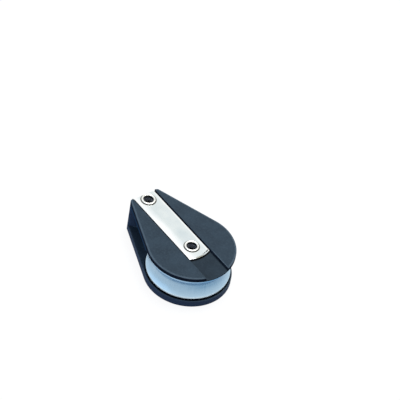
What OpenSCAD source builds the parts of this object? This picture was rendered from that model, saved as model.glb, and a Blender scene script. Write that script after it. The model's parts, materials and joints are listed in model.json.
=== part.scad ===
// Single deck block for a rope that turns back along the deck.
// Two moulded cheeks carry an alloy sheave on a roller bearing. A stainless strap is let into
// each cheek, and two hollow rivets clamp the stack and let the deck bolts through.
// Origin: on the sheave's axle, at the face that lies on the deck. +Y runs to the head, +Z is up.

/* [Block] */
// Distance from the axle bolt to the head bolt
bolt_spacing = 50; // [46:1:60]
// Distance from the head bolt to the head end
head_margin = 5.5; // [5.2:0.1:9]
// Width of the head end
head_w = 24; // [22:0.2:28]
// How far the cheeks reach past the sheave's rim
rope_guard = 1.4; // [0.8:0.1:3]
// Radius of the head's two upright corners
corner_r = 2; // [1.8:0.1:2.6]

/* [Cheeks] */
// Plastic left between the upper strap's channel and the sheave
upper_web_t = 1; // [0.8:0.1:3]
// Plastic left between the lower strap's channel and the sheave
lower_web_t = 2.8; // [1.5:0.1:5]
// How much thicker the upper cheek is ahead of the sheave
head_step = 1.9; // [1:0.1:3]
// Play between the sheave's rim and the step ahead of it
step_play = 1.7; // [0.8:0.1:3]
// Height of the lower cheek's half of the head boss
boss_split = 10.9; // [6:0.1:14]
// Plastic round the head rivet in the boss
boss_wall = 2.2; // [1.6:0.1:3]
// Width of the bevel round the upper cheek's top edge
pad_bevel_w = 1.2; // [0.6:0.1:1.3]
// Depth of the bevel round the upper cheek's top edge
pad_bevel_h = 0.5; // [0.4:0.1:1]
// Bevel round the lower cheek's bottom edge
base_bevel = 0.4; // [0.3:0.1:1]

/* [Straps] */
// Width of a strap
strap_w = 16.8; // [14:0.2:18]
// Thickness of a strap
strap_t = 1.5; // [1.2:0.1:2.5]
// How deep a strap lies below the cheek's face
strap_recess = 0.8; // [0.8:0.1:1.5]
// Gap along each side of a strap
strap_gap = 0.7; // [0.2:0.1:0.8]
// How far a strap reaches behind the axle
strap_tail = 10.6; // [9:0.1:14]
// Radius of the strap's rounded tail
tail_r = 20.6; // [16:0.2:40]

/* [Rivets] */
// Bore of the hollow rivets, which clears an M6 bolt
bolt_hole_d = 7; // [6.4:0.1:7.4]
// Wall of a rivet
rivet_wall = 0.8; // [0.6:0.1:1]
// How far a rivet's rim overhangs the strap
rim_over = 0.7; // [0.4:0.1:0.9]
// Height of the rolled rim above the strap
rim_h = 1; // [0.8:0.1:1.4]
// Rounding of the rolled rim
rim_edge_r = 0.45; // [0.2:0.05:0.6]

/* [Sheave] */
// Diameter of the sheave
sheave_d = 57.6; // [54:0.2:64]
// Width of the sheave
sheave_w = 17.1; // [15:0.1:20]
// Depth of the rope groove
groove_depth = 3; // [2:0.1:4]
// Width of the flat land on each side of the groove
land_w = 1.5; // [1:0.1:2.5]
// Gap between the sheave's face and each cheek
side_gap = 1; // [0.8:0.1:2]
// Depth of the hollow in each face of the sheave
face_hollow = 3; // [1:0.1:4]
// Metal between the groove's floor and the hollows
rim_wall = 1.8; // [1:0.1:3]
// Metal round the bearing in the hub
hub_wall = 4; // [3:0.1:5]

/* [Bearing] */
// Number of rollers
roller_count = 10; // [8:1:11]
// Diameter of a roller
roller_d = 4; // [3.6:0.1:4.2]
// Wall of the bearing sleeve
sleeve_wall = 2.65; // [2.4:0.05:3]
// Height of the cage's two end rings
cage_ring_h = 1.5; // [1:0.1:2.5]
// Radial thickness of the cage
cage_wall = 3; // [2.4:0.1:3.2]

/* [Hidden] */
$fn = 96;
// Play of a roller against each raceway
roller_play = 0.05;
// Clearance of the rivets in the straps, the cheeks and the sleeve
rivet_gap = 0.05;
// Running gap between the sheave and each thrust ring
thrust_play = 0.05;
// Gap between the bearing sleeve and what turns or lies round it
sleeve_gap = 0.25;
// End play of the cage between the thrust rings
cage_play = 0.3;
// Gap round and at the ends of a roller in its window
window_gap = 0.15;
// Extra length of a cut past the face that it leaves
over = 1;
// Share of a bevel's size by which its cut reaches past the two faces that it joins
bevel_over = 0.3;
// Angle before the tangent point at which the straight bevel takes over from the round one, at the
// cheek's end and at the head's corners
lap_a = 1;
corner_lap_a = 6;
// How far the boss's sides start inside its round back, so that they cross it instead of touching it
boss_tuck = 0.03;

// Levels above the deck
channel_depth = strap_t + strap_recess;
lower_face_z = lower_web_t + channel_depth;
sheave_z = lower_face_z + side_gap;
upper_face_z = sheave_z + sheave_w + side_gap;
top_z = upper_face_z + upper_web_t + channel_depth;
parting_z = lower_face_z + boss_split;
strap_top_z = top_z - strap_recess;
rivet_top_z = strap_top_z + rim_h;

// Plan of the block
sheave_r = sheave_d / 2;
cheek_r = sheave_r + rope_guard;
head_y = bolt_spacing + head_margin;
corner = [head_w / 2 - corner_r, head_y - corner_r];
channel_w = strap_w + 2 * strap_gap;

// Rivets and bearing
bore_r = bolt_hole_d / 2;
rivet_r = bore_r + rivet_wall;
rim_r = rivet_r + rim_over;
boss_r = rivet_r + boss_wall;
sleeve_bore_r = rivet_r + rivet_gap;
sleeve_r = sleeve_bore_r + sleeve_wall;
pitch_r = sleeve_r + roller_play + roller_d / 2;
hub_bore_r = pitch_r + roller_d / 2 + roller_play;
hub_r = hub_bore_r + hub_wall;
thrust_t = side_gap - thrust_play;
cage_z = lower_face_z + thrust_t + cage_play;
cage_h = upper_face_z - thrust_t - cage_play - cage_z;
window_h = cage_h - 2 * cage_ring_h;
roller_len = window_h - 2 * window_gap;

// Sheave groove: an arc through the inner edges of both lands
groove_w = sheave_w - 2 * land_w;
groove_r = (pow(groove_w / 2, 2) + pow(groove_depth, 2)) / (2 * groove_depth);
hollow_r = sheave_r - groove_depth - rim_wall;

ROLLERS = [for (i = [1:roller_count]) str("roller_", i)];

// Direction, in degrees, square to the line that touches a large circle and a small one on their right
function tangent_angle(centre, large_r, small_r) =
    atan2(centre.y, centre.x) - acos((large_r - small_r) / norm(centre));
function polar(r, a) = r * [cos(a), sin(a)];

side_a = tangent_angle(corner, cheek_r, corner_r);

// Plan of a large circle drawn out by straight sides to the head's two corners. The sides touch the
// circle, or with a tuck a smaller one inside it
module drawn_out(centre, large_r, tuck = 0) {
    to_corner = corner - centre;
    a = tangent_angle(to_corner, large_r - tuck, corner_r);
    near = centre + polar(large_r - tuck, a);
    far = corner + polar(corner_r, a);
    translate(centre) circle(large_r);
    polygon([near, far, corner, [corner.x, head_y], [-corner.x, head_y],
             [-corner.x, corner.y], [-far.x, far.y], [-near.x, near.y]]);
    for (side = [-1, 1]) translate([side * corner.x, corner.y]) circle(corner_r);
}

module cheek_plan() { drawn_out([0, 0], cheek_r); }
module boss_plan() {
    intersection() {
        drawn_out([0, bolt_spacing], boss_r, boss_tuck);
        translate([-head_w / 2, 0]) square([head_w, head_y]);
    }
}

// What a rounding of radius r takes off the corner of a section whose corner is at the origin
module rounding(r) {
    difference() {
        translate([-r, -r]) square(r + over);
        translate([-r, -r]) circle(r);
    }
}

// Section of a bevel's cut, which takes w off the face and h off the side of a corner at the origin
module bevel(w, h) {
    past = bevel_over * [w, h];
    polygon([[-w - past.x, past.y], past, [past.x, -h - past.y]]);
}

// Section of a bevel swept round the cheek's end and its two head corners
module bevel_arcs(w, h) {
    end_a = side_a - lap_a;
    rotate(180 - end_a) rotate_extrude(angle = 180 + 2 * end_a) translate([cheek_r, 0]) bevel(w, h);
    for (m = [0, 1]) mirror([m, 0, 0]) translate([corner.x, corner.y, 0]) rotate(side_a + corner_lap_a)
        rotate_extrude(angle = 90 - side_a - 2 * corner_lap_a) translate([corner_r, 0]) bevel(w, h);
}

// The same section along the cheek's two straight sides and its head end, which lap the arcs
module bevel_sides(w, h) {
    far = corner + polar(corner_r, side_a);
    past = corner_r * tan(2 * corner_lap_a);
    side_l = past + norm(far - polar(cheek_r, side_a)) + cheek_r * tan(2 * lap_a);
    end_x = corner.x + past;
    for (m = [0, 1]) mirror([m, 0, 0]) translate([far.x, far.y, 0]) rotate([90, 0, side_a])
        translate([0, 0, -past]) linear_extrude(side_l) bevel(w, h);
    translate([-end_x, head_y, 0]) rotate([90, 0, 90]) linear_extrude(2 * end_x) bevel(w, h);
}

// Bevels an edge of a body with the cheek's plan, first where it is round, then where it is straight.
// The edge is the upper one at level z, or with flip = 1 the lower one
module bevelled(z, w, h, flip = 0) {
    difference() {
        difference() {
            children();
            translate([0, 0, z]) mirror([0, 0, flip]) bevel_arcs(w, h);
        }
        translate([0, 0, z]) mirror([0, 0, flip]) bevel_sides(w, h);
    }
}

// Plan of a strap, or with a gap round it and a longer head end, of the pocket that it lies in
module strap_plan(gap = 0, longer = 0) {
    half_w = strap_w / 2 + gap;
    intersection() {
        translate([-half_w, -strap_tail - gap]) square([2 * half_w, strap_tail + gap + head_y + longer]);
        union() {
            translate([0, tail_r - strap_tail]) circle(tail_r + gap);
            translate([-half_w, 0]) square([2 * half_w, head_y + longer]);
        }
    }
}

module at_bolts() {
    children();
    translate([0, bolt_spacing, 0]) children();
}

module rivet_holes(z, h) { at_bolts() translate([0, 0, z]) cylinder(h = h, r = rivet_r + rivet_gap); }

module lower_cheek() {
    color([0.22, 0.25, 0.28]) bevelled(0, base_bevel, base_bevel, flip = 1) difference() {
        union() {
            linear_extrude(lower_face_z) cheek_plan();
            translate([0, 0, lower_face_z]) linear_extrude(boss_split) boss_plan();
        }
        translate([0, 0, -over]) linear_extrude(over + channel_depth) strap_plan(strap_gap, over);
        rivet_holes(0, parting_z + over);
    }
}

module upper_cheek() {
    plate_z = upper_face_z - head_step;
    color([0.25, 0.30, 0.34]) bevelled(top_z, pad_bevel_w, pad_bevel_h) difference() {
        union() {
            translate([0, 0, plate_z]) linear_extrude(top_z - plate_z) cheek_plan();
            translate([0, 0, parting_z]) linear_extrude(plate_z - parting_z) boss_plan();
        }
        translate([0, 0, plate_z - over]) cylinder(h = head_step + over, r = sheave_r + step_play);
        translate([-channel_w / 2, -cheek_r - over, top_z - channel_depth])
            cube([channel_w, cheek_r + head_y + 2 * over, channel_depth + over]);
        rivet_holes(parting_z - over, top_z);
    }
}

module strap(z) {
    color([0.86, 0.89, 0.90]) difference() {
        translate([0, 0, z]) linear_extrude(strap_t) strap_plan();
        rivet_holes(z - over, strap_t + 2 * over);
    }
}

module lower_strap() { strap(strap_recess); }
module upper_strap() { strap(strap_top_z - strap_t); }

// Hollow rivet: a flat flange under the lower strap and a rolled rim on the upper one
module rivet() {
    color([0.90, 0.91, 0.90]) rotate_extrude() difference() {
        union() {
            translate([bore_r, 0]) square([rivet_wall, rivet_top_z]);
            translate([bore_r, 0]) square([rim_r - bore_r, strap_recess]);
            translate([bore_r, strap_top_z]) square([rim_r - bore_r, rim_h]);
        }
        translate([rim_r, rivet_top_z]) rounding(rim_edge_r);
        translate([bore_r, rivet_top_z]) mirror([1, 0]) rounding(rim_edge_r);
    }
}

module axle_rivet() { rivet(); }
module head_rivet() { translate([0, bolt_spacing, 0]) rivet(); }

module ring(z, h, inner_r, outer_r) {
    translate([0, 0, z]) difference() {
        cylinder(h = h, r = outer_r);
        translate([0, 0, -over]) cylinder(h = h + 2 * over, r = inner_r);
    }
}

module bearing_sleeve() {
    color([0.72, 0.73, 0.75]) ring(lower_face_z, upper_face_z - lower_face_z, sleeve_bore_r, sleeve_r);
}

module lower_thrust_ring() {
    color([0.92, 0.91, 0.86]) ring(lower_face_z, thrust_t, sleeve_r + sleeve_gap, hub_r);
}

module upper_thrust_ring() {
    color([0.92, 0.91, 0.86]) ring(upper_face_z - thrust_t, thrust_t, sleeve_r + sleeve_gap, hub_r);
}

module sheave() {
    hollow_w = hollow_r - hub_r;
    color([0.66, 0.77, 0.86]) translate([0, 0, sheave_z]) rotate_extrude() difference() {
        translate([hub_bore_r, 0]) square([sheave_r - hub_bore_r, sheave_w]);
        translate([sheave_r - groove_depth + groove_r, sheave_w / 2]) circle(groove_r);
        translate([hub_r, -over]) square([hollow_w, face_hollow + over]);
        translate([hub_r, sheave_w - face_hollow]) square([hollow_w, face_hollow + over]);
    }
}

module at_roller(i) { rotate(360 * i / roller_count) translate([pitch_r, 0, 0]) children(); }

module roller_cage() {
    color([0.80, 0.79, 0.72]) difference() {
        ring(cage_z, cage_h, pitch_r - cage_wall / 2, pitch_r + cage_wall / 2);
        for (i = [1:roller_count]) at_roller(i) translate([0, 0, cage_z + cage_ring_h])
            cylinder(h = window_h, r = roller_d / 2 + window_gap);
    }
}

module roller(i) {
    color([0.93, 0.92, 0.88]) at_roller(i) translate([0, 0, cage_z + cage_ring_h + window_gap])
        cylinder(h = roller_len, d = roller_d);
}

lower_cheek();
upper_cheek();
lower_strap();
upper_strap();
axle_rivet();
head_rivet();
bearing_sleeve();
lower_thrust_ring();
upper_thrust_ring();
sheave();
roller_cage();
for (i = [1:roller_count]) roller(i);
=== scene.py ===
"""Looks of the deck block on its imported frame.

Every shape is worked out in millimetres, as whole arrays, and put into its mesh in metres. The pieces that
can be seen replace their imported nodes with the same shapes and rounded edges. The hidden bearing keeps its
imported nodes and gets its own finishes."""
import json
import math
from collections import namedtuple

import bpy
import numpy as np
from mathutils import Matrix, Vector
from mathutils.geometry import tessellate_polygon


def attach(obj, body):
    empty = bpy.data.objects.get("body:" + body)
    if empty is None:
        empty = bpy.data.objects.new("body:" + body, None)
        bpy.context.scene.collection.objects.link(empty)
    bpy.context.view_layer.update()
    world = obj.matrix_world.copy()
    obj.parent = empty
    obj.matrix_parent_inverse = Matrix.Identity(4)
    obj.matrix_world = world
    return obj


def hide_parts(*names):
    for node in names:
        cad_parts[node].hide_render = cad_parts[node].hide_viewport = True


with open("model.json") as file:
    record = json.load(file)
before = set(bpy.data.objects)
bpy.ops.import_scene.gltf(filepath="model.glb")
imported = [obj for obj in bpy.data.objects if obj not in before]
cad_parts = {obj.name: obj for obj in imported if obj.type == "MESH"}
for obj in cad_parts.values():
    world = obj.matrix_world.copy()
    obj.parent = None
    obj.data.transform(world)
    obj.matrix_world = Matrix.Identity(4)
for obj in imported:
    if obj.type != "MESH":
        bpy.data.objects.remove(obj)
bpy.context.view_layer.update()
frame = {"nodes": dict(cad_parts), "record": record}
BODIES = {node: body for body, nodes in frame["record"]["behaviour"]["bodies"].items() for node in nodes}
SLOTS = {part["node"]: part["material_slot"] for part in frame["record"]["subparts"]}

MM = 0.001

# Driving dimensions of the block, in millimetres
BOLT_SPACING = 50.0
HEAD_MARGIN = 5.5
HEAD_W = 24.0
CORNER_R = 2.0
ROPE_GUARD = 1.4
# Cheeks: plastic between each strap and the sheave, the thicker step at the head, and the head boss
UPPER_WEB = 1.0
LOWER_WEB = 2.8
HEAD_STEP = 1.9
STEP_PLAY = 1.7
BOSS_SPLIT = 10.9
BOSS_WALL = 2.2
# Straps, the gap beside them and their rounded tail
STRAP_W = 16.8
STRAP_T = 1.5
STRAP_RECESS = 0.8
STRAP_GAP = 0.7
STRAP_TAIL = 10.6
TAIL_R = 20.6
# Hollow rivets
BORE_R = 3.5
RIVET_WALL = 0.8
RIVET_GAP = 0.05
RIM_OVER = 0.7
RIM_H = 1.0
# Sheave, its rope groove, the hollow in each face and the hub round the bearing
SHEAVE_R = 28.8
SHEAVE_W = 17.1
SIDE_GAP = 1.0
GROOVE_DEPTH = 3.0
LAND_W = 1.5
RIM_WALL = 1.8
FACE_HOLLOW = 3.0
HUB_BORE_R = 11.1
HUB_WALL = 4.0

# Levels above the deck
CHANNEL_DEPTH = STRAP_T + STRAP_RECESS
LOWER_FACE = LOWER_WEB + CHANNEL_DEPTH
PARTING = LOWER_FACE + BOSS_SPLIT
SHEAVE_LOW = LOWER_FACE + SIDE_GAP
SHEAVE_HIGH = SHEAVE_LOW + SHEAVE_W
SHEAVE_MID = SHEAVE_LOW + SHEAVE_W / 2
UPPER_FACE = SHEAVE_HIGH + SIDE_GAP
STEP_LOW = UPPER_FACE - HEAD_STEP
CHANNEL_FLOOR = UPPER_FACE + UPPER_WEB
TOP = CHANNEL_FLOOR + CHANNEL_DEPTH
STRAP_TOP = TOP - STRAP_RECESS
RIVET_TOP = STRAP_TOP + RIM_H

# Plan of the block, with half widths as X
CHEEK_R = SHEAVE_R + ROPE_GUARD
STEP_R = SHEAVE_R + STEP_PLAY
HEAD_Y = BOLT_SPACING + HEAD_MARGIN
CORNER = np.array([HEAD_W / 2 - CORNER_R, HEAD_Y - CORNER_R])
STRAP_X = STRAP_W / 2
CHANNEL_X = STRAP_X + STRAP_GAP
TAIL_CENTRE = TAIL_R - STRAP_TAIL
RIVET_R = BORE_R + RIVET_WALL
HOLE_R = RIVET_R + RIVET_GAP
RIM_R = RIVET_R + RIM_OVER
BOSS_R = RIVET_R + BOSS_WALL
HUB_R = HUB_BORE_R + HUB_WALL
HOLLOW_R = SHEAVE_R - GROOVE_DEPTH - RIM_WALL
# The sheave's groove is an arc of this radius through the inner edges of both lands
HALF_GROOVE = SHEAVE_W / 2 - LAND_W
GROOVE_R = (HALF_GROOVE**2 + GROOVE_DEPTH**2) / (2 * GROOVE_DEPTH)

# Steps round a rounded edge and round a fillet
EDGE_STEPS = 6
FILLET_STEPS = 7
# Distance from a rounded edge of the points that keep the faces beside it flat
HOLD = 0.06
# Rounding of an edge that lies against another shell, and the least one that counts as rounded
SHARP = 0.02
LEAST_ROUND = 0.05
# Edges that turn by more than this many degrees are shaded as sharp
SHARP_TURN = 38

# Rounding of the pads' outer edge, as width and depth, and of the edges of the channel and the pocket
PAD_EDGE_W = 1.5
PAD_EDGE_D = 0.6
CHANNEL_EDGE = 0.3
# Width over which a pad's outer rounding sets in beside the channel, at its open end and at the head
TAIL_BLEND = 2.5
HEAD_BLEND = 1.4
# Rounding of the lower edges of the upper cheek's web and of its thicker head
WEB_EDGE = 0.3
STEP_EDGE = 0.35
# Rounding of the boss's two halves where they part, the flare of the boss's foot, and the slope in plan of
# the line ahead of which that foot is flush with the cheek's sides
PARTING_EDGE = 0.18
FOOT_FLARE = 0.7
FLUSH_SLOPE = 0.4
# Rounding of the lower cheek's bottom and top edges
BASE_EDGE = 0.4
LIP_EDGE = 0.45
# Where the edges over the sheave and at the head start to run out, and over what length they do
WEB_RUN_OUT = 12.0
HEAD_RUN_OUT = 49.0
RUN_OUT = 3.5
# Rounding of the straps' inner and outer edges
STRAP_INNER_EDGE = 0.06
STRAP_OUTER_EDGE = 0.28
# Rounding of the rivets' flange below and above, of the rim's widest place, and of its top, outside and at
# the bore
FLANGE_EDGE = 0.25
FLANGE_TOP_EDGE = 0.1
RIM_SIDE_EDGE = 0.15
RIM_TOP_EDGE = 0.62
RIM_BORE_EDGE = 0.75
# The rim's foot: its gap over the strap, how far it is tucked in, and the height at which the rim is widest
RIM_GAP = 0.02
RIM_TUCK = 0.22
RIM_SWELL = 0.28
# Where rivets get painted shade: how near the bore's wall, how far below the top, and how high over the
# strap
DARK_NEAR_BORE = 0.1
DARK_BELOW_TOP = 0.7
DARK_OVER_STRAP = 0.35
# Rounding of the sheave's hub, hollows and lands, and the value that marks the lands for a painted highlight
HUB_EDGE = 0.4
HOLLOW_FILLET = 0.8
LAND_EDGE = 0.35
LAND_HIGHLIGHT = 0.3


# Curves

def polar(radius, angle):
    """Point at a radius and an angle in degrees: radius (cos a, sin a)."""
    turn = math.radians(angle)
    return radius * np.array([math.cos(turn), math.sin(turn)])


def arc(centre, radius, start, stop, step):
    """Part of a circle: centre + radius (cos a, sin a), for angles a from start to stop in degrees."""
    count = max(2, math.ceil(abs(stop - start) / step) + 1)
    turn = np.radians(np.linspace(start, stop, count))
    return np.array(centre) + radius * np.c_[np.cos(turn), np.sin(turn)]


def line(start, stop, spacing):
    """Points evenly spaced between two points, both left out: start + t (stop - start)."""
    start, stop = np.array(start, float), np.array(stop, float)
    count = max(1, int(np.linalg.norm(stop - start) / spacing))
    return start + np.linspace(0, 1, count + 1)[1:-1, None] * (stop - start)


def mirrored(curve):
    """The curve's reflection in the plane x = 0, run the other way round so that it stays anticlockwise."""
    return curve[::-1] * (-1, 1)


def smooth(value, low, high):
    """Ramp from 0 at low to 1 at high, with t = (value - low) / (high - low) as 3 t^2 - 2 t^3."""
    t = np.clip((value - low) / (high - low), 0, 1)
    return t * t * (3 - 2 * t)


def side_angle(centre, radius):
    """Direction in degrees square to the line that touches a circle and the head's corner on their right.

    It is the direction from one centre to the other, less the angle whose cosine is the difference of the
    two radii over the distance between the centres."""
    to_corner = CORNER - centre
    return math.degrees(math.atan2(to_corner[1], to_corner[0])
                        - math.acos((radius - CORNER_R) / np.hypot(*to_corner)))


def corner_arc(start):
    """The head's right corner, from the angle start to its top."""
    return arc(CORNER, CORNER_R, start, 90, step=6)


def drawn_out(centre, radius, start, step, spacing):
    """Right half of a circle drawn out to the head: its arc from the angle start, the straight side that
    touches it and the head's corner, and the corner's arc."""
    centre = np.array(centre, float)
    side = side_angle(centre, radius)
    near, far = centre + polar(radius, side), CORNER + polar(CORNER_R, side)
    return np.vstack([arc(centre, radius, start, side, step), line(near, far, spacing), corner_arc(side)])


def cheek_half(start):
    """Right half of a cheek's outline, from the angle start on its round end to its head corner."""
    return drawn_out((0, 0), CHEEK_R, start, step=1.5, spacing=1.5)


def head_end():
    """Points on the head's end between its right corner and the channel."""
    return line((CORNER[0], HEAD_Y), (CHANNEL_X, HEAD_Y), spacing=0.25)


def cheek_outline():
    """Outline of a cheek, anticlockwise, ending at its rearmost point."""
    half = cheek_half(-90)[1:]
    return np.vstack([half, mirrored(half), [[0, -CHEEK_R]]])


def pad_outline():
    """Outline of the right pad: the cheek's outline beside the channel, and the channel's wall."""
    start = -math.degrees(math.acos(CHANNEL_X / CHEEK_R))
    head, tail = (CHANNEL_X, HEAD_Y), polar(CHEEK_R, start)
    return np.vstack([cheek_half(start), head_end(), [head], line(head, tail, spacing=4)])


def step_outline():
    """Outline of the upper cheek's thicker head, which ends on a circle of radius STEP_R round the axle.

    The cheek's straight side lies CHEEK_R from the axle. So it crosses that circle at the side's direction
    plus the angle whose cosine is CHEEK_R / STEP_R."""
    side = side_angle((0, 0), CHEEK_R)
    cross_angle = side + math.degrees(math.acos(CHEEK_R / STEP_R))
    cross, far = polar(STEP_R, cross_angle), CORNER + polar(CORNER_R, side)
    half = np.vstack([[cross], line(cross, far, spacing=1.5), corner_arc(side)])
    behind = arc((0, 0), STEP_R, 180 - cross_angle, cross_angle, step=2)[1:-1]
    return np.vstack([half, mirrored(half), behind])


def boss_outline():
    """Outline of the head boss, round behind the head rivet and as wide as the head at its end."""
    half = drawn_out((0, BOLT_SPACING), BOSS_R, -90, step=4, spacing=0.5)
    return np.vstack([half, mirrored(half)[:-1]])


def strap_outline(gap):
    """Outline of a strap with a gap round it, anticlockwise from its tail's left corner."""
    radius, x = TAIL_R + gap, STRAP_X + gap
    turn = math.degrees(math.asin(x / radius))
    tail = arc((0, TAIL_CENTRE), radius, -90 - turn, -90 + turn, step=1)
    right, left = (x, HEAD_Y), (-x, HEAD_Y)
    right_side, left_side = line(tail[-1], right, spacing=2.5), line(left, tail[0], spacing=2.5)
    return np.vstack([tail, right_side, [right, left], left_side])


def under_outline():
    """Outline of the lower cheek with the lower strap's pocket cut into it from the head, anticlockwise.

    The pocket is run clockwise, from its right corner at the head to its left one."""
    half = np.vstack([cheek_half(-90)[1:], head_end()])
    pocket = strap_outline(STRAP_GAP)
    right_corner = np.argmax(pocket[:, 1])
    from_head = np.roll(pocket, -1 - right_corner, axis=0)[::-1]
    return np.vstack([half, from_head, mirrored(half), [[0, -CHEEK_R]]])


def filleted(corners):
    """Closed curve through corners (x, y, radius), each one turned into an arc that touches both its sides.

    Half the corner's angle is h. The arc's centre lies radius / sin h from the corner, midway between its
    sides, and the arc touches each side radius / tan h from the corner. Its points are the two touching
    points as seen from the centre, blended by the sines of the angles left to each. A radius of 0 keeps the
    corner."""
    corners = np.array(corners, float)
    here, radius = corners[:, :2], corners[:, 2:]
    back, ahead = np.roll(here, 1, 0) - here, np.roll(here, -1, 0) - here
    back /= np.linalg.norm(back, axis=1)[:, None]
    ahead /= np.linalg.norm(ahead, axis=1)[:, None]
    half = np.arccos((back * ahead).sum(1))[:, None] / 2
    between = (back + ahead) / np.linalg.norm(back + ahead, axis=1)[:, None]
    centre = here + between * radius / np.sin(half)
    first, last = (here + side * radius / np.tan(half) - centre for side in (back, ahead))
    share = np.linspace(0, 1, FILLET_STEPS + 1)[:, None]
    turn = (math.pi - 2 * half)[:, None]
    swing = np.sin((1 - share) * turn) * first[:, None] + np.sin(share * turn) * last[:, None]
    arcs = centre[:, None] + swing / np.sin(turn)
    kept = np.ones(arcs.shape[:2], bool)
    kept[radius[:, 0] == 0, 1:] = False
    return arcs[kept]


# Closed surfaces

# Points in millimetres, arrays of faces, and a value at each point that marks worn edges and painted light
Shell = namedtuple("Shell", "points faces wear")


def inward(loop):
    """Step, for each point of a closed curve, that moves both sides next to it to their left by 1."""
    along = np.roll(loop, -1, 0) - loop
    along /= np.linalg.norm(along, axis=1)[:, None]
    after = np.c_[-along[:, 1], along[:, 0]]
    before = np.roll(after, 1, 0)
    return (after + before) / (1 + (after * before).sum(1))[:, None]


def grid_faces(rows, columns, closed):
    """Quads of a grid of points. Each row is a loop of columns, and the rows make a loop too if closed."""
    row, column = np.meshgrid(np.arange(rows if closed else rows - 1), np.arange(columns), indexing="ij")
    next_row, next_column = (row + 1) % rows, (column + 1) % columns
    quads = [row * columns + column, row * columns + next_column, next_row * columns + next_column,
             next_row * columns + column]
    return np.stack(quads, -1).reshape(-1, 4)


def flat_face(points, loops, up):
    """Triangles between an outline and its holes, all of them loops of point numbers, turned up or down."""
    flat = points * (1, 1, 0)
    numbers = np.concatenate(loops)
    triangles = numbers[np.array(tessellate_polygon([flat[loop].tolist() for loop in loops]))]
    first, second, third = (flat[triangles[:, corner]] for corner in range(3))
    along, across = second - first, third - first
    area = along[:, 0] * across[:, 1] - along[:, 1] * across[:, 0]
    wrong = (area > 0) != up
    triangles[wrong] = triangles[wrong][:, ::-1]
    return triangles[abs(area) > 1e-9]


def edge_size(edge, count):
    """Width and depth of the rounding at each point of a curve, from a pair or one number for both."""
    width, depth = edge if isinstance(edge, tuple) else (edge, np.abs(edge))
    return np.broadcast_to(width, count), np.broadcast_to(depth, count)


def wall(curve, low, high, low_edge, high_edge):
    """Rings of points up a wall from level low to level high, with both its edges rounded, and their marking
    values.

    An edge is the rounding there, as a width w and a depth d: at the angle t the wall stands w (1 - sin t)
    inside the curve and d (1 - cos t) from the face. A negative width flares the foot outwards in the same
    way. The value that marks worn edges and painted highlights is w sin 2t, and 0 on the flat faces and
    walls."""
    none = np.zeros(len(curve))
    low_w, low_d = edge_size(low_edge, len(curve))
    high_w, high_d = edge_size(high_edge, len(curve))
    foot_w = low_w + HOLD * np.sign(low_w) * (abs(low_w) > LEAST_ROUND)
    rise = np.linspace(0, np.pi / 2, EDGE_STEPS + 1)[:, None]
    fall = rise[::-1]
    inset = np.vstack([foot_w, low_w * (1 - np.sin(rise)), none,
                       none, high_w * (1 - np.sin(fall)), high_w + HOLD])
    level = np.vstack([none + low, low + low_d * (1 - np.cos(rise)), low + low_d + HOLD,
                       high - high_d - HOLD, high - high_d * (1 - np.cos(fall)), none + high])
    wear = np.vstack([none, abs(low_w) * np.sin(2 * rise), none,
                      none, high_w * np.sin(2 * fall), none])
    return np.dstack([curve + inset[..., None] * inward(curve), level]), wear


def moulded(low, high, *curves):
    """Solid from level low to level high over a flat plan.

    Each curve is (points, low edge, high edge): the outline first, anticlockwise, then holes, clockwise.
    Rings of points make a wall over each curve, and triangles between the curves close the two faces."""
    points, faces, wear, foot_loops, top_loops = [], [], [], [], []
    start = 0
    for curve, low_edge, high_edge in curves:
        count = len(curve)
        rings, worn = wall(curve, low, high, low_edge, high_edge)
        points.append(rings.reshape(-1, 3))
        wear.append(worn.ravel())
        faces.append(grid_faces(len(rings), count, closed=False) + start)
        foot_loops.append(start + np.arange(count))
        start += worn.size
        top_loops.append(start - count + np.arange(count))
    points = np.vstack(points)
    faces += [flat_face(points, foot_loops, up=False), flat_face(points, top_loops, up=True)]
    return Shell(points, faces, np.concatenate(wear))


def turned(profile, wear, centre_y, count):
    """Closed profile (r, z), anticlockwise, turned about an upright axis. At the angle a its points are
    (r cos a, centre_y + r sin a, z), and their values that mark painted light are the profile's."""
    turn = np.linspace(0, 2 * np.pi, count, endpoint=False)
    radius, level = profile[:, :1], profile[:, 1:]
    points = np.dstack([radius * np.cos(turn), centre_y + radius * np.sin(turn), level + 0 * turn])
    quads = grid_faces(len(profile), count, closed=True)
    return Shell(points.reshape(-1, 3), [quads], np.repeat(wear, count))


def piece(name, shells, node):
    """One object from closed surfaces, which takes the place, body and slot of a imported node."""
    faces, start = [], 0
    for shell in shells:
        for group in shell.faces:
            faces += (group + start).tolist()
        start += len(shell.points)
    points = np.vstack([shell.points for shell in shells]) * MM
    wear = np.concatenate([shell.wear for shell in shells]).astype(np.float32)
    mesh = bpy.data.meshes.new(name)
    mesh.from_pydata(points.tolist(), [], faces)
    # The attribute marks worn edges and painted light for the finishes
    mesh.attributes.new("wear", "FLOAT", "POINT").data.foreach_set("value", wear)
    mesh.polygons.foreach_set("use_smooth", np.ones(len(mesh.polygons), bool))
    mesh.set_sharp_from_angle(angle=math.radians(SHARP_TURN))
    mesh.materials.append(FINISHES[SLOTS[node]])
    mesh.update()
    obj = bpy.data.objects.new(name, mesh)
    bpy.context.scene.collection.objects.link(obj)
    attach(obj, BODIES[node])
    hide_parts(node)


# Materials

def rgb(red, green, blue):
    """Linear colour of an sRGB one given from 0 to 255."""
    linear = [((c / 255 + 0.055) / 1.055) ** 2.4 if c > 10 else c / 255 / 12.92 for c in (red, green, blue)]
    return (*linear, 1.0)


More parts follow.
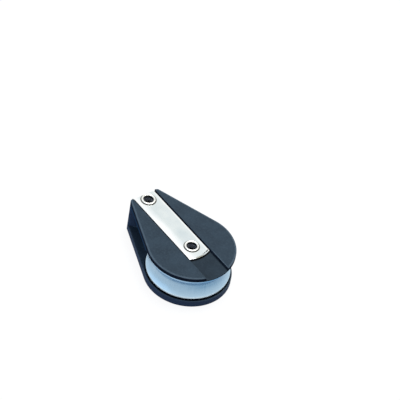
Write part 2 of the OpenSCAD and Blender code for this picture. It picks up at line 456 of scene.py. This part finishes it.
class Finish:
    """A material built node by node on a Principled shader, with places and lengths in millimetres."""

    def __init__(self, name, **sockets):
        self.material = bpy.data.materials.new(name)
        self.material.use_nodes = True
        self.tree = self.material.node_tree
        self.shader = self.tree.nodes["Principled BSDF"]
        self.coordinates = self.add("TexCoord").outputs
        in_metres = {0: self.coordinates["Object"], "Scale": 1 / MM}
        self.place = self.add("VectorMath", in_metres, operation="SCALE").outputs["Vector"]
        self.x, self.y, self.z = self.add("SeparateXYZ", {0: self.place}).outputs
        self.finish(**sockets)

    def add(self, kind, inputs=None, **settings):
        """New node of that kind, with its settings, and its inputs by name or number."""
        node = self.tree.nodes.new("ShaderNode" + kind)
        for setting, value in settings.items():
            setattr(node, setting, value)
        self.set(node, inputs or {})
        return node

    def set(self, node, inputs):
        """Gives sockets a value, or links another node's output to them."""
        for socket, value in inputs.items():
            if isinstance(value, bpy.types.NodeSocket):
                self.tree.links.new(value, node.inputs[socket])
            else:
                node.inputs[socket].default_value = value

    def finish(self, **sockets):
        """Sets the shader's sockets, named with underscores for spaces, and returns the material."""
        self.set(self.shader, {socket.replace("_", " "): value for socket, value in sockets.items()})
        return self.material

    def noise(self, scale, detail, stretch=(1, 1, 1), vector=None, roughness=0.5):
        """Noise from 0 to 1 over the piece, with scale in cycles a millimetre along each stretched axis."""
        mapped = self.add("Mapping", {"Vector": vector or self.place, "Scale": stretch}).outputs["Vector"]
        return self.add("TexNoise", {"Vector": mapped, "Scale": scale, "Detail": detail,
                                     "Roughness": roughness}).outputs[0]

    def ramp(self, value, low, high, out_low=0.0, out_high=1.0):
        """Value stretched from low..high to out_low..out_high, and held there."""
        return self.add("MapRange", {"Value": value, "From Min": low, "From Max": high, "To Min": out_low,
                                     "To Max": out_high}).outputs[0]

    def mix(self, share, first, second):
        """Blend of two colours, the second one by share."""
        return self.add("Mix", {0: share, 6: first, 7: second}, data_type="RGBA").outputs[2]

    # Arithmetic, in which each number is a value or another node's output
    def maths(self, operation, first, second=0.0):
        return self.add("Math", {0: first, 1: second}, operation=operation).outputs[0]

    def plus(self, first, second):
        return self.maths("ADD", first, second)

    def minus(self, first, second):
        return self.maths("SUBTRACT", first, second)

    def times(self, first, second):
        return self.maths("MULTIPLY", first, second)

    def larger(self, first, second):
        return self.maths("MAXIMUM", first, second)

    def smaller(self, first, second):
        return self.maths("MINIMUM", first, second)

    def distance(self, value, middle):
        """How far a number is from a middle one, on either side."""
        return self.maths("ABSOLUTE", self.minus(value, middle))

    def flat(self, first, second):
        """The vector (first, second, 0)."""
        return self.add("CombineXYZ", {0: first, 1: second}).outputs[0]

    def length(self, x, y):
        """Length of the vector (x, y, 0)."""
        return self.add("VectorMath", {0: self.flat(x, y)}, operation="LENGTH").outputs["Value"]

    def rings(self):
        """Distance from the axle and level, as a vector on which noise makes turned rings."""
        return self.flat(self.length(self.x, self.y), self.z)

    def around(self):
        """Unit vector from the axle, on which noise makes bands across a turned piece."""
        outwards = self.flat(self.x, self.y)
        return self.add("VectorMath", {0: outwards}, operation="NORMALIZE").outputs["Vector"]

    def bump(self, height, strength, distance, below=None):
        """Bump normal from a height, on top of another bump if given."""
        inputs = {"Height": height, "Strength": strength, "Distance": distance * MM}
        if below is not None:
            inputs["Normal"] = below
        return self.add("Bump", inputs).outputs[0]

    def wear(self):
        """Value from the piece's own attribute that marks worn edges and painted light."""
        return self.add("Attribute", attribute_name="wear").outputs["Fac"]


# The cheeks' nylon: darker and paler patches, specks, painted blue light on walls, worn and highlit edges
NYLON_DARK = rgb(55, 67, 77)
NYLON_PALE = rgb(61, 75, 86)
NYLON_SPECK = rgb(76, 90, 100)
NYLON_WALL_LIGHT = rgb(84, 101, 127)
NYLON_WORN_AND_HIGHLIT = rgb(96, 112, 124)
# Painted shadow and dirt along the strap, painted blue light low and painted shade high on the upper cheek's
# walls, and painted shade on level faces
GAP_SHADE_AND_DIRT = rgb(20, 18, 20)
WALL_BLUE_LIGHT = rgb(48, 90, 124)
WALL_SHADE = rgb(6, 12, 26)
LEVEL_SHADE = rgb(12, 13, 17)
# Reach of the painted shadow and dirt past the strap's sides and past its tail, their shift to -X, and their
# fade
GAP_SHADE_PAST_SIDE = 0.68
GAP_SHADE_PAST_TAIL = 0.5
GAP_SHADE_SHIFT = 0.3
GAP_SHADE_FADE = 0.45
# How far the painted shade on the lower cheek reaches past the sheave, and its fade
SHADE_PAST_SHEAVE = 0.35
SHEAVE_SHADE_FADE = 0.3


def steepness(nylon):
    """1 on upright walls and 0 on level faces, from the upright share of the surface's normal."""
    upright = nylon.add("SeparateXYZ", {0: nylon.coordinates["Normal"]}).outputs["Z"]
    return nylon.ramp(nylon.maths("ABSOLUTE", upright), 0.25, 0.6, 1, 0)


def worn_and_highlit_edges(nylon):
    """Share of paling on rounded edges, from rubbing and painted highlight, where the lower cheek's narrow
    ones count for more.
    """
    uneven = nylon.times(nylon.wear(), nylon.ramp(nylon.noise(0.26, 4), 0.3, 0.7, 0.55, 1))
    most = nylon.ramp(nylon.z, LOWER_FACE, UPPER_FACE, 0.2, 1.2)
    return nylon.ramp(uneven, 0, most, 0, 0.7)


def highlit_band(nylon):
    """Share of a painted highlight in a narrow band on the right pad, beside the channel's open end."""
    past_wall = nylon.ramp(nylon.x, CHANNEL_X - 0.1, CHANNEL_X)
    short_of_pad = nylon.ramp(nylon.x, CHANNEL_X + 0.5, CHANNEL_X + 0.9, 1, 0)
    behind_strap = nylon.ramp(nylon.y, -STRAP_TAIL - 1.9, -STRAP_TAIL + 0.1, 0.45, 0)
    return nylon.times(nylon.times(past_wall, short_of_pad), behind_strap)


def gap_shade_and_dirt(nylon):
    """Share of the painted shadow, with dirt, on the upper cheek along the strap's sides and round its tail.

    It is full up to a set distance from the strap and then fades. Behind the tail, where the distance is
    counted from the tail's circle, it fades twice as fast."""
    beside = nylon.minus(nylon.distance(nylon.x, -GAP_SHADE_SHIFT), STRAP_X + GAP_SHADE_PAST_SIDE)
    from_centre = nylon.length(nylon.x, nylon.minus(nylon.smaller(nylon.y, 0), TAIL_CENTRE))
    behind = nylon.times(nylon.minus(from_centre, TAIL_R + GAP_SHADE_PAST_TAIL), 2)
    dirt = nylon.ramp(nylon.larger(beside, behind), 0, GAP_SHADE_FADE, 1, 0)
    return nylon.times(dirt, nylon.ramp(nylon.z, LOWER_FACE, UPPER_FACE))


def at_level(nylon, level, share):
    """The share on a level face, which fades out within 0.2 mm above and below it."""
    return nylon.ramp(nylon.distance(nylon.z, level), 0.05, 0.2, share, 0)


def cheek_plastic():
    """Dark blue-grey nylon with a fine moulded grain. Its upright walls are painted bluer and paler as blue
    light, its edges are paler from rubbing and painted highlight, and a painted highlight lies beside the
    channel's open end.

    A painted shadow, with dirt, lies along the upper strap and round its tail. The upper cheek's upright
    walls are painted with shade, darkest near the pads, and with blue light lower down. Painted shade
    darkens the channel's floor, and the lower cheek under the sheave and just past it."""
    nylon = Finish("cheek_plastic", Specular_IOR_Level=0.02)
    patch = nylon.noise(0.11, 4)
    speck = nylon.noise(0.62, 3, roughness=0.6)
    grain = nylon.noise(1.5, 4, roughness=0.65)
    fine_grain = nylon.noise(5.2, 2)
    colour = nylon.mix(nylon.ramp(patch, 0.35, 0.65), NYLON_DARK, NYLON_PALE)
    colour = nylon.mix(nylon.ramp(speck, 0.45, 0.75, 0, 0.45), colour, NYLON_SPECK)

    steep, edge_highlight = steepness(nylon), worn_and_highlit_edges(nylon)
    # Painted blue light on the upright walls
    colour = nylon.mix(nylon.times(steep, 0.9), colour, NYLON_WALL_LIGHT)
    # Edges paler from rubbing and painted highlight, and a painted highlight beside the channel's open end
    colour = nylon.mix(nylon.larger(edge_highlight, highlit_band(nylon)), colour, NYLON_WORN_AND_HIGHLIT)
    # Painted shadow, with dirt, in the gap along the strap's sides and round its tail
    colour = nylon.mix(gap_shade_and_dirt(nylon), colour, GAP_SHADE_AND_DIRT)

    # Painted shade high on the upper cheek's upright walls, and painted blue light below it
    wall_shade_share = nylon.times(steep, nylon.ramp(nylon.z, STEP_LOW - 1, STEP_LOW, 0, 0.85))
    shade = nylon.mix(nylon.ramp(nylon.z, STEP_LOW + 1.2, STEP_LOW + 2.6), WALL_BLUE_LIGHT, WALL_SHADE)
    colour = nylon.mix(nylon.times(wall_shade_share, nylon.ramp(patch, 0.3, 0.6, 0.75, 1)), colour, shade)
    # Painted shade on the lower cheek under the sheave and just past it, and on the channel's floor
    edge = SHEAVE_R + SHADE_PAST_SHEAVE
    shade_under_sheave = nylon.ramp(nylon.length(nylon.x, nylon.y), edge, edge + SHEAVE_SHADE_FADE, 1, 0)
    shade_under_sheave = nylon.times(shade_under_sheave, at_level(nylon, LOWER_FACE, 1))
    colour = nylon.mix(shade_under_sheave, colour, LEVEL_SHADE)
    colour = nylon.mix(at_level(nylon, CHANNEL_FLOOR, 0.3), colour, LEVEL_SHADE)

    rough = nylon.minus(nylon.ramp(speck, 0.3, 0.7, 0.5, 0.62), nylon.times(edge_highlight, 0.15))
    normal = nylon.bump(grain, 0.35, 0.06, below=nylon.bump(fine_grain, 0.2, 0.02))
    return nylon.finish(Base_Color=colour, Roughness=nylon.larger(rough, wall_shade_share), Normal=normal)


# The straps' sheet where it is mottled, clear and rolled, and its painted highlights along its left and
# right sides
SHEET_MOTTLED = rgb(212, 222, 225)
SHEET_CLEAR = rgb(230, 234, 233)
SHEET_ROLLED = rgb(222, 228, 222)
SHEET_LEFT_HIGHLIGHT = rgb(252, 253, 252)
SHEET_RIGHT_HIGHLIGHT = rgb(252, 253, 250)
# Dirt and painted shade round the rims, the dull part of the tail's edge and the scratch
RIM_DIRT_AND_SHADE = rgb(46, 42, 36)
TAIL_DULL = rgb(120, 114, 92)
SCRATCH = rgb(44, 42, 40)


def rim_dirt_and_shade(sheet):
    """Share of the smudge of dirt and painted shade round each rivet's rim, from the distance to the nearer
    rivet's axis.
    """
    halfway = BOLT_SPACING / 2
    past_rivet = sheet.minus(sheet.distance(sheet.y, halfway), halfway)
    return sheet.ramp(sheet.length(sheet.x, past_rivet), RIM_R + 0.35, RIM_R + 1.15, 1, 0)


def tail_marks(sheet):
    """Shares of the dull middle of the tail's edge, and of a broken scratch that lies 1.1 mm inside it."""
    behind_axle = sheet.ramp(sheet.y, 0, 1, 1, 0)
    inside = sheet.minus(TAIL_R, sheet.length(sheet.x, sheet.minus(sheet.y, TAIL_CENTRE)))
    dull = sheet.times(sheet.ramp(inside, 0.4, 1.2, 0.8, 0), behind_axle)
    dull = sheet.times(dull, sheet.ramp(sheet.distance(sheet.x, -0.6), 1.5, 4.5, 1, 0))
    scratch = sheet.times(sheet.ramp(sheet.distance(inside, 1.1), 0.3, 0.55, 1, 0), behind_axle)
    scratch = sheet.times(scratch, sheet.ramp(sheet.x, 1, 4.5))
    breaks = sheet.ramp(sheet.noise(1.3, 0, stretch=(1, 0, 0)), 0.4, 0.46)
    return dull, sheet.times(scratch, breaks)


def strap_steel():
    """Polished stainless sheet with broad faint mottling and painted highlights along its two sides. It has
    dirt and painted shade round the rivets' rims and marks on its tail."""
    sheet = Finish("strap_steel", Metallic=1.0)
    mottling = sheet.noise(0.075, 3, stretch=(1, 0.6, 1))
    rolling = sheet.noise(0.42, 2, stretch=(1, 0.05, 1))
    colour = sheet.mix(sheet.ramp(mottling, 0.35, 0.65), SHEET_MOTTLED, SHEET_CLEAR)
    colour = sheet.mix(sheet.ramp(rolling, 0.35, 0.65, 0, 0.3), colour, SHEET_ROLLED)
    # Painted highlights along the strap's left and right sides
    colour = sheet.mix(sheet.ramp(sheet.x, 1.4 - STRAP_X, 5.9 - STRAP_X, 0.9, 0), colour, SHEET_LEFT_HIGHLIGHT)
    colour = sheet.mix(sheet.ramp(sheet.x, STRAP_X - 1.6, STRAP_X - 0.6, 0, 0.8), colour, SHEET_RIGHT_HIGHLIGHT)
    dirt = rim_dirt_and_shade(sheet)
    dull, scratch = tail_marks(sheet)
    # Dirt and painted shade round each rivet's rim
    colour = sheet.mix(sheet.maths("POWER", dirt, 1.4), colour, RIM_DIRT_AND_SHADE)
    colour = sheet.mix(dull, colour, TAIL_DULL)
    colour = sheet.mix(scratch, colour, SCRATCH)
    rough = sheet.plus(sheet.ramp(mottling, 0.3, 0.7, 0.17, 0.24), sheet.times(dirt, 0.3))
    return sheet.finish(Base_Color=colour, Roughness=rough, Normal=sheet.bump(mottling, 0.05, 0.1))


# The rivets' polished rim in its darker and paler patches, and the painted shade of their bore and rim's
# foot, with paler painted light deeper in the bore
RIM_DARK = rgb(232, 231, 224)
RIM_PALE = rgb(244, 244, 240)
BORE_SHADE = rgb(12, 12, 14)
BORE_LIGHT = rgb(160, 162, 165)


def rivet_steel():
    """Stainless tube with a polished rolled rim. Negative attribute values mark the bore and the rim's foot,
    which are painted dark as shade, with a paler belt of painted light from 3 to 5 mm below the top of the
    rim."""
    tube = Finish("rivet_steel")
    patch = tube.noise(0.5, 3)
    # Painted shade in the bore and at the rim's foot, with a paler belt of painted light in the bore
    dull = tube.ramp(tube.wear(), -1, -0.2, 1, 0)
    belt = tube.smaller(tube.ramp(tube.z, RIVET_TOP - 3, RIVET_TOP - 1.8, 1, 0),
                        tube.ramp(tube.z, RIVET_TOP - 6.6, RIVET_TOP - 5.2))
    colour = tube.mix(tube.ramp(patch, 0.3, 0.7), RIM_DARK, RIM_PALE)
    colour = tube.mix(dull, colour, tube.mix(belt, BORE_SHADE, BORE_LIGHT))
    rough = tube.plus(tube.ramp(patch, 0.3, 0.7, 0.22, 0.3), tube.times(dull, 0.3))
    return tube.finish(Base_Color=colour, Metallic=tube.ramp(dull, 0, 1, 1, 0), Roughness=rough)


# The sheave's anodised blue in its darker and paler bands, its painted shade under the upper cheek, painted
# light low down and towards -X, a painted highlight on the lower land, and faint clouds
ALLOY_DARK = rgb(118, 157, 186)
ALLOY_PALE = rgb(134, 170, 196)
ALLOY_UPPER_SHADE = rgb(112, 162, 201)
ALLOY_LOWER_LIGHT = rgb(188, 215, 232)
ALLOY_LEFT_LIGHT = rgb(206, 228, 242)
ALLOY_LAND_HIGHLIGHT = rgb(226, 242, 250)
ALLOY_CLOUD = rgb(190, 214, 230)


def sheave_alloy():
    """Anodised alloy with fine turning rings and faint bands across the groove. Painted shade deepens its
    blue under the upper cheek, painted light pales it downwards and towards -X, and a painted highlight
    pales the lower land."""
    alloy = Finish("sheave_alloy", Metallic=0.9)
    turning = alloy.noise(6, 2, vector=alloy.rings())
    coarse_turning = alloy.noise(0.9, 2, vector=alloy.rings())
    bands = alloy.noise(26, 4, vector=alloy.around())
    cloud = alloy.noise(0.14, 4)
    # Painted shade under the upper cheek, and painted light low down and towards -X
    upper = alloy.ramp(alloy.z, SHEAVE_MID - 1, SHEAVE_MID + 7)
    lower = alloy.ramp(alloy.z, SHEAVE_MID - 1, SHEAVE_MID - 8)
    colour = alloy.mix(alloy.ramp(bands, 0.35, 0.65), ALLOY_DARK, ALLOY_PALE)
    colour = alloy.mix(lower, alloy.mix(upper, colour, ALLOY_UPPER_SHADE), ALLOY_LOWER_LIGHT)
    left_light = alloy.times(alloy.ramp(alloy.x, -24, -8, 0.35, 0), alloy.ramp(lower, 0, 0.5, 1, 0.1))
    colour = alloy.mix(left_light, colour, ALLOY_LEFT_LIGHT)
    # Painted highlight on the lower land
    edge_highlight = alloy.times(alloy.ramp(alloy.wear(), 0, LAND_HIGHLIGHT, 0, 0.6), lower)
    colour = alloy.mix(edge_highlight, colour, ALLOY_LAND_HIGHLIGHT)
    colour = alloy.mix(alloy.ramp(cloud, 0.5, 0.75, 0, 0.2), colour, ALLOY_CLOUD)
    rough = alloy.plus(alloy.ramp(cloud, 0.3, 0.7, 0.26, 0.36), alloy.ramp(turning, 0.3, 0.7, -0.04, 0.04))
    normal = alloy.bump(turning, 0.12, 0.02, below=alloy.bump(coarse_turning, 0.08, 0.05))
    return alloy.finish(Base_Color=colour, Roughness=rough, Normal=normal)


def plain_plastic(name, dark, pale, scale, roughness):
    """Moulded bearing plastic: slow shade changes, at a scale in cycles a millimetre, and fine grain."""
    plastic = Finish(name, Specular_IOR_Level=0.4)
    patch, grain = plastic.noise(scale, 3), plastic.noise(scale * 12, 3)
    colour = plastic.mix(plastic.ramp(patch, 0.3, 0.7), dark, pale)
    rough = plastic.ramp(grain, 0.3, 0.7, roughness - 0.06, roughness + 0.06)
    return plastic.finish(Base_Color=colour, Roughness=rough, Normal=plastic.bump(grain, 0.15, 0.02))


# The sleeve's ground steel, the cage's nylon and the rollers' acetal, darker and paler
SLEEVE_DARK = rgb(168, 171, 176)
SLEEVE_PALE = rgb(205, 207, 210)
CAGE_DARK = rgb(198, 190, 160)
CAGE_PALE = rgb(214, 207, 180)
ACETAL_DARK = rgb(232, 229, 218)
ACETAL_PALE = rgb(241, 239, 230)


def sleeve_steel():
    """Ground stainless sleeve with fine rings round its axis."""
    steel = Finish("sleeve_steel", Metallic=1.0)
    grinding = steel.noise(7, 2, vector=steel.rings())
    colour = steel.mix(grinding, SLEEVE_DARK, SLEEVE_PALE)
    rough = steel.ramp(grinding, 0.3, 0.7, 0.2, 0.34)
    return steel.finish(Base_Color=colour, Roughness=rough, Normal=steel.bump(grinding, 0.2, 0.01))


FINISHES = {
    "cheek_plastic": cheek_plastic(),
    "strap_steel": strap_steel(),
    "rivet_steel": rivet_steel(),
    "sheave_alloy": sheave_alloy(),
    "sleeve_steel": sleeve_steel(),
    "cage_plastic": plain_plastic("cage_plastic", CAGE_DARK, CAGE_PALE, 0.2, 0.45),
    "bearing_plastic": plain_plastic("bearing_plastic", ACETAL_DARK, ACETAL_PALE, 0.26, 0.32),
}


# Cheeks

def rivet_hole(centre_y):
    """Sharp-edged hole for a rivet, clockwise."""
    return arc((0, centre_y), HOLE_R, 360, 0, step=6)[:-1], SHARP, SHARP


def pad_edge(curve, outer):
    """Rounding along a pad's curve: the channel's on its wall, which blends into outer on the outline."""
    off_wall = abs(curve[:, 0]) - CHANNEL_X
    blend = np.where(curve[:, 1] < 0, smooth(off_wall, 0, TAIL_BLEND), smooth(off_wall, 0, HEAD_BLEND))
    return CHANNEL_EDGE + (outer - CHANNEL_EDGE) * blend


def free_edge(curve, radius, until):
    """Rounding of a free edge that runs out towards the head, where the walls are flush."""
    return SHARP + (radius - SHARP) * (1 - smooth(curve[:, 1], until, until + RUN_OUT))


def upper_cheek():
    """Upper cheek: two pads beside the channel, the web under them, the thicker head and half the boss."""
    cheek, step, boss = cheek_outline(), step_outline(), boss_outline()
    axle_hole, head_hole = rivet_hole(0), rivet_hole(BOLT_SPACING)
    web_foot = free_edge(cheek, WEB_EDGE, WEB_RUN_OUT)
    head_foot = free_edge(step, STEP_EDGE, HEAD_RUN_OUT)
    pads = []
    for pad in (pad_outline(), mirrored(pad_outline())):
        rounding = pad_edge(pad, PAD_EDGE_W), pad_edge(pad, PAD_EDGE_D)
        pads.append(moulded(CHANNEL_FLOOR, TOP, (pad, SHARP, rounding)))
    web = moulded(UPPER_FACE, CHANNEL_FLOOR, (cheek, web_foot, SHARP), axle_hole, head_hole)
    head = moulded(STEP_LOW, UPPER_FACE, (step, head_foot, SHARP), head_hole)
    upper_boss = moulded(PARTING, STEP_LOW, (boss, PARTING_EDGE, SHARP), head_hole)
    piece("upper_cheek_moulding", [*pads, web, head, upper_boss], "upper_cheek")


def lower_cheek():
    """Lower cheek: the base with the lower strap's pocket, the web over it, and half the boss.

    The pocket's edge is rounded as the channel's within CHEEK_R of the axle, and as the base's beyond it.
    The boss's foot flares out where it stands clear of the cheek's sides."""
    under, cheek, boss = under_outline(), cheek_outline(), boss_outline()
    axle_hole, head_hole = rivet_hole(0), rivet_hole(BOLT_SPACING)
    in_pocket = (np.hypot(*under.T) < CHEEK_R - 0.01) & (abs(under[:, 0]) < CHANNEL_X + 0.01)
    clear = abs(boss[:, 0]) + FLUSH_SLOPE * (boss[:, 1] - BOLT_SPACING) < CORNER[0]
    base_foot = np.where(in_pocket, CHANNEL_EDGE, BASE_EDGE)
    boss_foot = np.where(clear, -FOOT_FLARE, -SHARP)
    lip = free_edge(cheek, LIP_EDGE, HEAD_RUN_OUT)
    base = moulded(0, CHANNEL_DEPTH, (under, base_foot, SHARP))
    web = moulded(CHANNEL_DEPTH, LOWER_FACE, (cheek, SHARP, lip), axle_hole, head_hole)
    lower_boss = moulded(LOWER_FACE, PARTING, (boss, boss_foot, PARTING_EDGE), head_hole)
    piece("lower_cheek_moulding", [base, web, lower_boss], "lower_cheek")


# Straps, rivets and sheave

def strap(node, low, low_edge, high_edge):
    """Flat strap with a rounded tail, two rivet holes and deburred edges, from the level low."""
    outline = (strap_outline(0), low_edge, high_edge)
    sheet = moulded(low, low + STRAP_T, outline, rivet_hole(0), rivet_hole(BOLT_SPACING))
    piece(node + "_sheet", [sheet], node)


def rivet(node, centre_y):
    """Hollow rivet: a flat flange under the lower strap, and a rim rolled over on the upper one. Its bore
    under the rim's rounding and the rim's foot are marked with negative values, for painted shade."""
    profile = filleted([
        (BORE_R, 0, FLANGE_EDGE), (RIM_R, 0, FLANGE_EDGE), (RIM_R, STRAP_RECESS, FLANGE_TOP_EDGE),
        (RIVET_R, STRAP_RECESS, 0), (RIVET_R, STRAP_TOP, 0), (RIM_R - RIM_TUCK, STRAP_TOP + RIM_GAP, 0),
        (RIM_R, STRAP_TOP + RIM_SWELL, RIM_SIDE_EDGE), (RIM_R, RIVET_TOP, RIM_TOP_EDGE),
        (BORE_R, RIVET_TOP, RIM_BORE_EDGE),
    ])
    radius, level = profile.T
    bore = (radius < BORE_R + DARK_NEAR_BORE) & (level < RIVET_TOP - DARK_BELOW_TOP)
    rim_foot = (level > STRAP_TOP) & (level < STRAP_TOP + DARK_OVER_STRAP)
    wear = np.where(bore | rim_foot, -1.0, 0.0)
    piece(node + "_tube", [turned(profile, wear, centre_y, count=96)], node)


def sheave():
    """Sheave: two lands marked for a painted highlight, the groove between them on one arc, and a hollow in
    each face.
    """
    side = [(HUB_BORE_R, 0, HUB_EDGE), (HUB_R, 0, HUB_EDGE), (HUB_R, FACE_HOLLOW, HOLLOW_FILLET),
            (HOLLOW_R, FACE_HOLLOW, HOLLOW_FILLET), (HOLLOW_R, 0, HUB_EDGE), (SHEAVE_R, 0, LAND_EDGE)]
    lower_side = [(radius, SHEAVE_LOW + depth, fillet) for radius, depth, fillet in side]
    upper_side = [(radius, SHEAVE_HIGH - depth, fillet) for radius, depth, fillet in side[::-1]]
    turn = math.degrees(math.asin(HALF_GROOVE / GROOVE_R))
    centre = (SHEAVE_R - GROOVE_DEPTH + GROOVE_R, SHEAVE_MID)
    groove = arc(centre, GROOVE_R, 180 + turn, 180 - turn, step=3)
    profile = filleted(np.vstack([lower_side, np.c_[groove, np.zeros(len(groove))], upper_side]))
    # The lands' outer faces carry the value for a painted highlight
    wear = np.where(profile[:, 0] > SHEAVE_R - 0.02, LAND_HIGHLIGHT, 0.0)
    piece("sheave_wheel", [turned(profile, wear, 0, count=288)], "sheave")


def bearing():
    """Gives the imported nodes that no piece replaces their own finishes."""
    for name, node in frame["nodes"].items():
        if not node.hide_render:
            node.data.materials.clear()
            node.data.materials.append(FINISHES[SLOTS[name]])


# Floor, light and camera, in metres

FLOOR_GREY = (0.12, 0.12, 0.12, 1)
FLOOR_GLOW = 0.91
WHITE = (1, 1, 1, 1)
# The point that the lamps are turned to
AIM = (0, 0.01, 0.01)


def seen_share(tree):
    """1 for what the camera, a reflection or glass sees, and 0 for soft light."""
    path = tree.nodes.new("ShaderNodeLightPath")
    share = path.outputs["Is Camera Ray"]
    for other in ("Is Glossy Ray", "Is Transmission Ray"):
        most = tree.nodes.new("ShaderNodeMath")
        most.operation = "MAXIMUM"
        tree.links.new(share, most.inputs[0])
        tree.links.new(path.outputs[other], most.inputs[1])
        share = most.outputs[0]
    return share


def floor_paint():
    """Matt floor that looks white from its own glow and keeps the block's shadow."""
    paint = bpy.data.materials.new("floor_pale")
    paint.use_nodes = True
    tree = paint.node_tree
    shader = tree.nodes["Principled BSDF"]
    shader.inputs["Base Color"].default_value = FLOOR_GREY
    shader.inputs["Roughness"].default_value = 1.0
    shader.inputs["Specular IOR Level"].default_value = 0.0
    shader.inputs["Emission Color"].default_value = WHITE
    glow = tree.nodes.new("ShaderNodeMath")
    glow.operation = "MULTIPLY"
    glow.inputs[1].default_value = FLOOR_GLOW
    tree.links.new(seen_share(tree), glow.inputs[0])
    tree.links.new(glow.outputs[0], shader.inputs["Emission Strength"])
    return paint


def floor(reach, level):
    """Square floor that reaches as far each way from the block, at a level just below it."""
    mesh = bpy.data.meshes.new("floor")
    corners = [(x * reach, y * reach, level) for x, y in ((-1, -1), (1, -1), (1, 1), (-1, 1))]
    mesh.from_pydata(corners, [], [(0, 1, 2, 3)])
    mesh.materials.append(floor_paint())
    obj = bpy.data.objects.new("floor", mesh)
    bpy.context.scene.collection.objects.link(obj)


def studio(light, seen):
    """World that lights the block with one colour and shows another where it is seen."""
    world = bpy.data.worlds.new("studio")
    bpy.context.scene.world = world
    world.use_nodes = True
    tree = world.node_tree
    blend = tree.nodes.new("ShaderNodeMix")
    blend.data_type = "RGBA"
    blend.inputs[6].default_value = light
    blend.inputs[7].default_value = seen
    tree.links.new(seen_share(tree), blend.inputs[0])
    tree.links.new(blend.outputs[2], tree.nodes["Background"].inputs["Color"])


def lamp(name, place, size, power, colour):
    """Square area lamp at a place, turned towards the block."""
    data = bpy.data.lights.new(name, "AREA")
    data.size = size
    data.energy = power
    data.color = colour
    obj = bpy.data.objects.new(name, data)
    obj.location = place
    obj.rotation_euler = (Vector(AIM) - Vector(place)).to_track_quat("-Z", "Y").to_euler()
    bpy.context.scene.collection.objects.link(obj)


def camera(place, turn, lens):
    """Camera at the photograph's viewing angle, with its turn in degrees."""
    obj = bpy.data.objects.new("camera", bpy.data.cameras.new("camera"))
    obj.data.sensor_width = 36.0
    obj.data.lens = lens
    obj.location = place
    obj.rotation_euler = tuple(math.radians(angle) for angle in turn)
    bpy.context.scene.collection.objects.link(obj)
    bpy.context.scene.camera = obj


upper_cheek()
lower_cheek()
strap("upper_strap", STRAP_TOP - STRAP_T, low_edge=STRAP_INNER_EDGE, high_edge=STRAP_OUTER_EDGE)
strap("lower_strap", STRAP_RECESS, low_edge=STRAP_OUTER_EDGE, high_edge=STRAP_INNER_EDGE)
rivet("axle_rivet", 0)
rivet("head_rivet", BOLT_SPACING)
sheave()
bearing()

floor(reach=4, level=-0.05 * MM)
studio(light=(0.23, 0.27, 0.36, 1), seen=(0.97, 0.985, 1.0, 1))
lamp("key", (0.28, 0.12, 1.45), size=0.7, power=17, colour=(1.0, 0.98, 0.93))
lamp("side", (-1.2, 0.5, 0.6), size=1.8, power=3.2, colour=(0.42, 0.7, 1.0))
camera(place=(-0.60014, -0.61982, 0.92036), turn=(44.9483, -7.5329, -36.5762), lens=167.544)
bpy.context.scene.view_settings.view_transform = "Standard"
